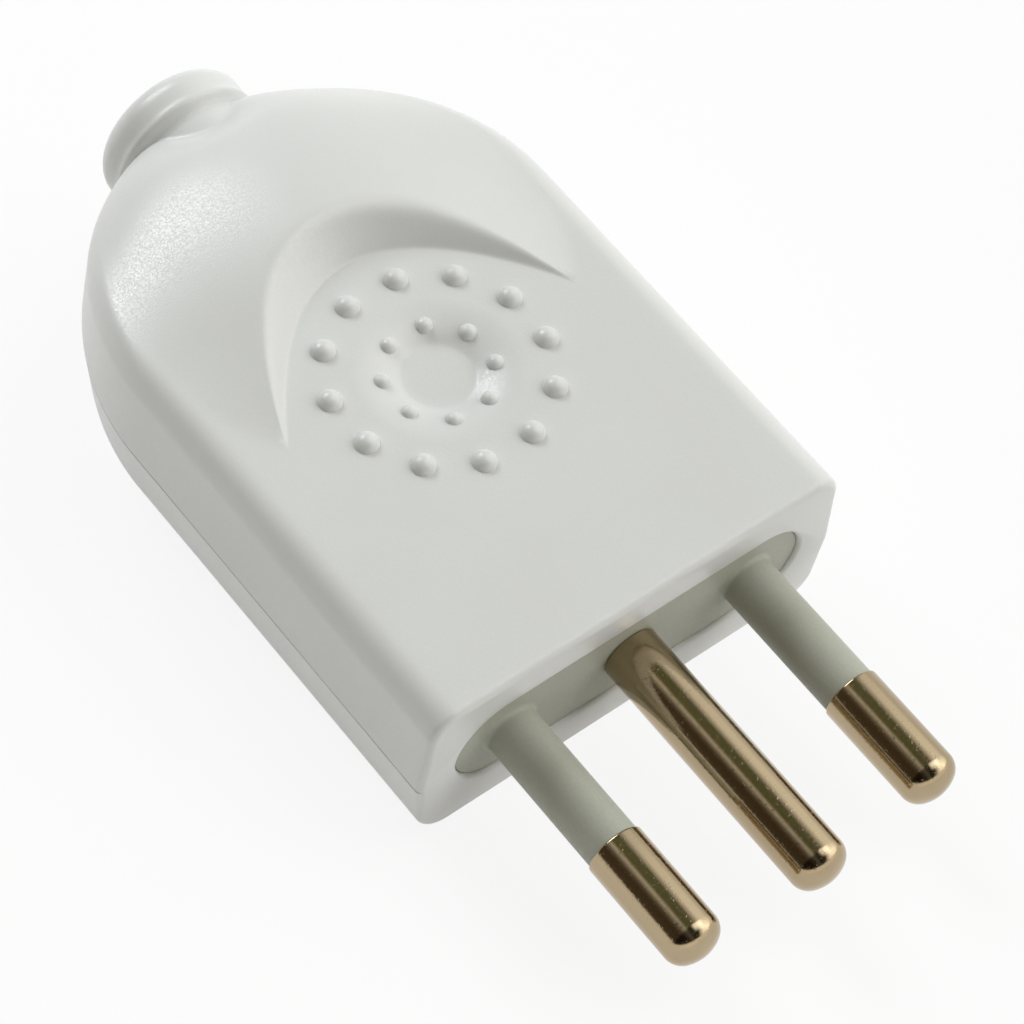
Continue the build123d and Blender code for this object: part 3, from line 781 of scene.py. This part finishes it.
def saddle_block():
    """Bridge between the clamp posts with a round seat for the cord."""
    low = FLOOR_Z - BITE
    outline = [(-CLAMP_SCREW_X, PARTING_Z), (-CLAMP_SCREW_X, low)]
    outline += [(CLAMP_SCREW_X, low), (CLAMP_SCREW_X, PARTING_Z)]
    edge = np.arcsin(PARTING_Z / SADDLE_RADIUS)
    for t in np.linspace(edge, -pi - edge, SADDLE_POINTS):
        outline.append((SADDLE_RADIUS * cos(t), SADDLE_RADIUS * sin(t)))
    half = PARTITION_THICKNESS / 2
    return prism("saddle", outline, "Y", CLAMP_Y - half, CLAMP_Y + half)


def fit_lower(piece):
    """Clamp posts, saddle, partitions, stop ribs and locating lip of the lower half, and its screw holes."""
    low = FLOOR_Z - BITE
    half = PARTITION_THICKNESS / 2
    lip_top = PARTING_Z + LIP_RING_HEIGHT
    lip_inner = WALL - STEP_OFF
    fittings = saddle_block()
    for side in (-1, 1):
        screw_x = side * CLAMP_SCREW_X
        join(fittings, rod("post", POST_RADIUS, low, POST_TOP_Z, screw_x, CLAMP_Y, POST_SEGMENTS))
        middle = side * PARTITION_X
        join(fittings, block("partition", (middle - half, middle + half), PARTITION_Y, low, PARTING_Z))
        join(fittings, stop_rib(side, low, PARTING_Z - STEP_OFF))
        join(fittings, wall_strip("lip", side, LIP_RING_INSET, lip_inner, PARTING_Z - BITE, lip_top))
    join(piece, fittings)
    for side in (-1, 1):
        cut(piece, rod("thread", *CLAMP_THREAD, side * CLAMP_SCREW_X, CLAMP_Y))
    bore = [(-BEYOND, 0), (-BEYOND, SCREW_HEAD_HOLE), (SCREW_SEAT_Z, SCREW_HEAD_HOLE)]
    bore += [(SCREW_SEAT_Z, SCREW_SHANK_HOLE), (0, SCREW_SHANK_HOLE), (0, 0)]
    cut(piece, lathe("bore", bore, (0, GRIP_Y, 0), "Z"))


def fit_upper(piece):
    """Stop ribs of the upper half, the rebate for the lower half's lip, and the screw's thread hole."""
    rebate_top = PARTING_Z + REBATE_HEIGHT
    rebate_inner = WALL + STEP_OFF
    for side in (-1, 1):
        join(piece, stop_rib(side, PARTING_Z + STEP_OFF, ROOF_Z + BITE))
        cut(piece, wall_strip("rebate", side, REBATE_INSET, rebate_inner, PARTING_Z - BITE, rebate_top))
    cut(piece, rod("thread", *SCREW_THREAD, 0, GRIP_Y))


def finish_shell(name, form, flip):
    """One half of the body, hollowed and fitted out; flip turns it over into the lower half."""
    piece = new_object(name, shell_skin(form).mesh(name, flip))
    cut(piece, room_tool())
    cut(piece, passage_tool())
    cut(piece, flared("window", WINDOW_WIDTH, WINDOW_HEIGHT, WINDOW_EDGE))
    if flip:
        fit_lower(piece)
    else:
        fit_upper(piece)
    piece.data.shade_smooth()
    piece.data.set_sharp_from_angle(angle=radians(SHELL_SHARP_ANGLE))
    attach(piece, "root")
    return piece


upper = finish_shell("upper_case", UPPER, False)
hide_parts("upper_shell")
lower = finish_shell("lower_case", LOWER, True)
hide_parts("lower_shell")


def pin_profile(tip_y, front_end, shank):
    """Turned profile: blunt domed tip, front, shank, keying collar, terminal and its wire hole."""
    turn = radians(PIN_TIP_TURN)
    corner = PIN_RADIUS - PIN_TIP_ROUNDING
    dome_edge = corner + PIN_TIP_ROUNDING * sin(turn)
    dome_radius = dome_edge / sin(turn)
    profile = []
    for angle in np.linspace(0, turn, PIN_DOME_STEPS):
        profile.append((tip_y + dome_radius * (1 - cos(angle)), dome_radius * sin(angle)))
    dome_y = profile[-1][0]
    for angle in np.linspace(turn, pi / 2, PIN_TIP_STEPS)[1:]:
        rise = PIN_TIP_ROUNDING * (cos(turn) - cos(angle))
        profile.append((dome_y + rise, corner + PIN_TIP_ROUNDING * sin(angle)))
    for angle in np.linspace(0, pi / 2, PIN_RIM_STEPS):
        profile.append((front_end - PIN_RIM * (1 - sin(angle)), PIN_RADIUS - PIN_RIM * (1 - cos(angle))))
    collar_start, collar_end, collar = PIN_COLLAR
    start, end, radius = TERMINAL
    profile += [(front_end, shank), (collar_start, shank), (collar_start, collar)]
    profile += [(collar_end, collar), (collar_end, shank), (start, shank)]
    profile += [(start, radius), (end, radius), (end, WIRE_HOLE_RADIUS)]
    bottom = end - WIRE_HOLE_DEPTH
    return profile + [(bottom, WIRE_HOLE_RADIUS), (bottom, 0.0)]


pins = []
for node, x, tip_y, front_end, shank in PINS:
    profile = pin_profile(tip_y, front_end, shank)
    pin = lathe(node + "_turned", profile, (x, 0, 0), "Y", PIN_SEGMENTS)
    start, end, radius = TERMINAL
    reach = radius + 1
    cut(pin, block("flat", (x - reach, x + reach), (start - 0.1, end + 1), TERMINAL_FLAT_Z, reach))
    cut(pin, rod("screw_hole", TERMINAL_SCREW_RADIUS, 0, reach + 1, x, TERMINAL_SCREW_Y, POST_SEGMENTS))
    pin.data.shade_smooth()
    pin.data.set_sharp_from_angle(angle=radians(PIN_SHARP_ANGLE))
    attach(pin, "root")
    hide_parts(node)
    pins.append(pin)


class Tree:
    """Short way to write a tree of shader nodes."""

    def __init__(self, tree):
        self.tree = tree

    def node(self, kind, **settings):
        made = self.tree.nodes.new(kind)
        for key, value in settings.items():
            setattr(made, key, value)
        return made

    def link(self, source, target):
        self.tree.links.new(source, target)

    def feed(self, value, socket):
        """Link an output to a socket, or set a plain number or colour on it."""
        if isinstance(value, bpy.types.NodeSocket):
            self.link(value, socket)
        elif isinstance(value, tuple):
            socket.default_value = (*value, 1.0)
        else:
            socket.default_value = value

    def math(self, operation, first, second):
        """Result of a sum on two outputs or numbers."""
        made = self.node("ShaderNodeMath", operation=operation)
        self.feed(first, made.inputs[0])
        self.feed(second, made.inputs[1])
        return made.outputs["Value"]

    def mix(self, kind, first, second, share=1.0):
        """Two colours blended by the named kind."""
        made = self.node("ShaderNodeMix", data_type="RGBA", blend_type=kind)
        self.feed(share, made.inputs["Factor"])
        self.feed(first, made.inputs[6])
        self.feed(second, made.inputs[7])
        return made.outputs[2]

    def reach(self, source, low, high, to_low=0.0, to_high=1.0):
        """One range of values mapped to another, and held at its ends."""
        made = self.node("ShaderNodeMapRange")
        made.inputs["From Min"].default_value = low
        made.inputs["From Max"].default_value = high
        made.inputs["To Min"].default_value = to_low
        made.inputs["To Max"].default_value = to_high
        self.link(source, made.inputs["Value"])
        return made.outputs["Result"]

    def ramp(self, source, stops):
        """Colours by value, from (position, colour or grey) stops."""
        made = self.node("ShaderNodeValToRGB")
        elements = made.color_ramp.elements
        while len(elements) < len(stops):
            elements.new(0.5)
        for element, (position, colour) in zip(elements, stops):
            element.position = position
            element.color = (*colour, 1.0) if isinstance(colour, tuple) else (colour, colour, colour, 1.0)
        self.link(source, made.inputs["Fac"])
        return made.outputs["Color"]


class Nodes(Tree):
    """Nodes of a material, in the object's own coordinates."""

    def __init__(self, name):
        self.material = bpy.data.materials.new(name)
        self.material.use_nodes = True
        super().__init__(self.material.node_tree)
        self.shader = self.tree.nodes["Principled BSDF"]
        self.place = self.node("ShaderNodeTexCoord").outputs["Object"]

    def noise(self, scale, detail=3.0, stretch=None):
        """Noise with a scale per metre, stretched along the axes if asked."""
        made = self.node("ShaderNodeTexNoise")
        made.inputs["Scale"].default_value = scale
        made.inputs["Detail"].default_value = detail
        place = self.place
        if stretch:
            squeeze = self.node("ShaderNodeMapping")
            squeeze.inputs["Scale"].default_value = stretch
            self.link(self.place, squeeze.inputs["Vector"])
            place = squeeze.outputs["Vector"]
        self.link(place, made.inputs["Vector"])
        return made.outputs["Fac"]

    def bump(self, source, strength, distance, before=None):
        """Normal from a height, on top of an earlier bump if given."""
        made = self.node("ShaderNodeBump")
        made.inputs["Strength"].default_value = strength
        made.inputs["Distance"].default_value = distance
        self.link(source, made.inputs["Height"])
        if before:
            self.link(before, made.inputs["Normal"])
        return made.outputs["Normal"]


# Grain of the materials: scales per metre, heights in metres
CLOUD_SCALE = 140.0
GRAIN_SCALE = 6400.0
GRAIN_HEIGHT = 0.00006
STREAK_SCALE = 500.0
GROOVE_SCALE = 1500.0
PLATING_SCALE = 6000.0
PIT_SCALE = 4200.0
PIT_LEVELS = (0.65, 0.73)
PIT_STRENGTH = 0.24
PLATING_HEIGHT = 0.00002


def plastic(name, light, dark, roughness, grain):
    """Moulded plastic: faint cloudy colour, fine eroded grain that glitters in the highlights."""
    nodes = Nodes(name)
    shader = nodes.shader
    cloud = nodes.noise(CLOUD_SCALE)
    nodes.link(nodes.ramp(cloud, [(0.3, dark), (0.7, light)]), shader.inputs["Base Color"])
    fine = nodes.noise(GRAIN_SCALE, 2.0)
    rough = nodes.reach(fine, 0.35, 0.65, roughness - 0.05, roughness + 0.07)
    nodes.link(rough, shader.inputs["Roughness"])
    nodes.link(nodes.reach(fine, 0.62, 0.38, 0.35, 0.75), shader.inputs["Specular IOR Level"])
    nodes.link(nodes.bump(fine, grain, GRAIN_HEIGHT), shader.inputs["Normal"])
    shader.inputs["IOR"].default_value = 1.5
    return nodes.material


def plated(name, light, dark):
    """Turned and plated metal: lengthwise streaks, sparse pits."""
    nodes = Nodes(name)
    shader = nodes.shader
    shader.inputs["Metallic"].default_value = 1.0
    streak = nodes.noise(STREAK_SCALE, 4.0, (1.0, 0.06, 1.0))
    nodes.link(nodes.ramp(streak, [(0.3, dark), (0.7, light)]), shader.inputs["Base Color"])
    grain = nodes.noise(PLATING_SCALE, 2.0)
    nodes.link(nodes.reach(grain, 0.35, 0.75, 0.11, 0.2), shader.inputs["Roughness"])
    grooves = nodes.noise(GROOVE_SCALE, 3.0, (1.0, 0.1, 1.0))
    first = nodes.bump(grooves, 0.06, PLATING_HEIGHT)
    second = nodes.bump(grain, 0.1, PLATING_HEIGHT, first)
    pits = nodes.reach(nodes.noise(PIT_SCALE, 1.0), *PIT_LEVELS)
    nodes.link(nodes.bump(pits, PIT_STRENGTH, PLATING_HEIGHT, second), shader.inputs["Normal"])
    return nodes.material


white = plastic("white_plastic", (0.705, 0.714, 0.704), (0.69, 0.697, 0.686), 0.33, 0.15)
grey = plastic("grey_plastic", (0.41, 0.42, 0.35), (0.385, 0.395, 0.328), 0.5, 0.2)
clamp = plastic("clamp_plastic", (0.5, 0.5, 0.48), (0.46, 0.46, 0.44), 0.5, 0.3)
brass = plated("plated_metal", (0.46, 0.37, 0.24), (0.40, 0.315, 0.20))
steel = plated("screw_metal", (0.66, 0.66, 0.67), (0.5, 0.5, 0.52))


def dress(target, material):
    """Give a piece one material."""
    target.data.materials.clear()
    target.data.materials.append(material)


for piece in (upper, lower):
    dress(piece, white)
for pin in pins:
    dress(pin, brass)
for node, material in (
    ("pin_carrier", grey),
    ("terminal_screws", steel),
    ("housing_screw", steel),
    ("cord_clamp", clamp),
    ("cord_clamp_screws", steel),
):
    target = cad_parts[node]
    for slot in target.material_slots:
        slot.material = material

# Floor through the front's lower edge, touching the lower swell
FLOOR_REACH = 2.0                # metres
FLOOR_GAP = 0.02                 # millimetres
FLOOR_GLOW = 0.88                # how far the floor looks plain white to the camera and in reflections
front_low = -LOWER["height"]
under = [(v.co.y / MM, v.co.z / MM) for v in lower.data.vertices if v.co.y > 10 * MM]
tilt = -atan(max((front_low - z) / y for y, z in under))
floor_mesh = bpy.data.meshes.new("floor")
floor_corners = [(x * FLOOR_REACH, y * FLOOR_REACH, 0) for x, y in ((-1, -1), (1, -1), (1, 1), (-1, 1))]
floor_mesh.from_pydata(floor_corners, [], [(0, 1, 2, 3)])
floor = new_object("floor", floor_mesh)
floor.rotation_euler = (tilt, 0, 0)
floor.location = (0, 0, (front_low - FLOOR_GAP) * MM)
floor_nodes = Nodes("floor_white")
floor_nodes.shader.inputs["Base Color"].default_value = (0.9, 0.9, 0.9, 1.0)
floor_nodes.shader.inputs["Roughness"].default_value = 0.8
floor_nodes.shader.inputs["Specular IOR Level"].default_value = 0.0
glow = floor_nodes.node("ShaderNodeEmission")
path = floor_nodes.node("ShaderNodeLightPath").outputs
seen = floor_nodes.math("MAXIMUM", path["Is Camera Ray"], path["Is Glossy Ray"])
seen = floor_nodes.math("MAXIMUM", seen, path["Is Transmission Ray"])
blend = floor_nodes.node("ShaderNodeMixShader")
floor_nodes.link(floor_nodes.math("MULTIPLY", seen, FLOOR_GLOW), blend.inputs["Fac"])
floor_nodes.link(floor_nodes.shader.outputs["BSDF"], blend.inputs[1])
floor_nodes.link(glow.outputs["Emission"], blend.inputs[2])
floor_nodes.link(blend.outputs["Shader"], floor_nodes.tree.nodes["Material Output"].inputs["Surface"])
floor_mesh.materials.append(floor_nodes.material)

# World: a studio with a wide window on the right, a lit strip overhead, dark ceiling and left wall, and pale
# near the horizon. Stops across run from the left horizon over the top to the right one, and stops along from
# the front to the rear.
ROOM_ACROSS = (
    (0.0, (0.09, 0.075, 0.055)),
    (0.24, (0.08, 0.055, 0.03)),
    (0.3, (0.14, 0.115, 0.085)),
    (0.345, (0.34, 0.325, 0.3)),
    (0.39, (0.68, 0.67, 0.62)),
    (0.45, (0.15, 0.155, 0.08)),
    (0.585, (0.14, 0.15, 0.075)),
    (0.66, (0.13, 0.13, 0.12)),
)
WINDOW_ACROSS = ((0.6, 0.0), (0.735, 1.0), (0.86, 1.0), (0.94, 0.7), (1.0, 0.4))
WINDOW_ALONG = (
    (0.05, 0.35), (0.15, 0.85), (0.27, 1.25), (0.4, 0.98),
    (0.55, 0.7), (0.69, 0.47), (0.8, 0.13), (0.95, 0.03),
)
WINDOW_GAIN = (2.15, 2.15, 2.1)
STRIP_ACROSS = ((0.51, 0.0), (0.57, 1.95), (0.69, 1.95), (0.76, 0.0))
STRIP_ALONG = ((0.22, 0.0), (0.4, 1.0), (0.53, 1.0), (0.61, 0.0))
HORIZON = (0.97, 0.93, 0.88)
HORIZON_FRONT_GAIN = 1.18
HORIZON_DIP = 0.28               # how much higher the pale band stands towards the front
HORIZON_EDGE = (0.10, 0.18)
world = bpy.data.worlds.new("studio")
bpy.context.scene.world = world
world.use_nodes = True
sky = Tree(world.node_tree)
axes = sky.node("ShaderNodeSeparateXYZ")
sky.link(sky.node("ShaderNodeTexCoord").outputs["Generated"], axes.inputs["Vector"])
lengthwise, height = axes.outputs["Y"], axes.outputs["Z"]
across = sky.reach(sky.math("ARCTAN2", axes.outputs["X"], height), -pi / 2, pi / 2)
along = sky.reach(lengthwise, -1.0, 1.0)
rearward = sky.reach(lengthwise, -0.05, 0.3, 0.2, 1.0)
dim = sky.mix("MIX", (0.0, 0.0, 0.0), sky.ramp(across, ROOM_ACROSS), rearward)
pane = sky.mix("MULTIPLY", sky.ramp(across, WINDOW_ACROSS), sky.ramp(along, WINDOW_ALONG))
bright = sky.mix("MULTIPLY", pane, WINDOW_GAIN)
overhead = sky.mix("MULTIPLY", sky.ramp(across, STRIP_ACROSS), sky.ramp(along, STRIP_ALONG))
inside = sky.mix("ADD", sky.mix("ADD", dim, bright), overhead)
forward = sky.math("MULTIPLY", sky.math("MINIMUM", lengthwise, 0.0), HORIZON_DIP)
lifted = sky.reach(sky.math("ADD", height, forward), *HORIZON_EDGE)
horizon = sky.mix("MULTIPLY", HORIZON, sky.reach(lengthwise, -0.8, 0.0, HORIZON_FRONT_GAIN, 1.0))
colour = sky.mix("MIX", horizon, inside, lifted)
sky.link(colour, world.node_tree.nodes["Background"].inputs["Color"])


def lamp(name, place, target, size, power, colour):
    """Rectangular lamp aimed at a target."""
    light = bpy.data.lights.new(name, "AREA")
    light.shape = "RECTANGLE"
    light.size, light.size_y = size
    light.energy = power
    light.color = colour
    made = new_object(name, light)
    made.location = place
    aim = Vector(target) - Vector(place)
    made.rotation_euler = aim.to_track_quat("-Z", "Y").to_euler()


lamp(
    "rear", place=(0.0, 0.49, 0.35), target=(0.0, 0.02, 0.0),
    size=(0.3, 0.22), power=1.7, colour=(0.94, 0.97, 1.0),
)

# Camera at the photograph's viewing angle: its place in millimetres and its axes
CAMERA_PLACE = (-94.169, -77.823, 198.010)
CAMERA_RIGHT = (0.7842, -0.6134, 0.0941)
CAMERA_DOWN = (-0.476, -0.6918, -0.5429)
CAMERA_LOOK = (0.3981, 0.381, -0.8345)
camera_data = bpy.data.cameras.new("camera")
camera_data.sensor_width = 36.0
camera_data.lens = 131.06
camera_data.clip_start = 0.01
camera_data.clip_end = 10.0
camera = new_object("camera", camera_data)
turn = Matrix((Vector(CAMERA_RIGHT), -Vector(CAMERA_DOWN), -Vector(CAMERA_LOOK))).transposed()
camera.matrix_world = Matrix.Translation(Vector(CAMERA_PLACE) * MM) @ turn.to_4x4()
bpy.context.scene.camera = camera
bpy.context.scene.view_settings.view_transform = "Standard"
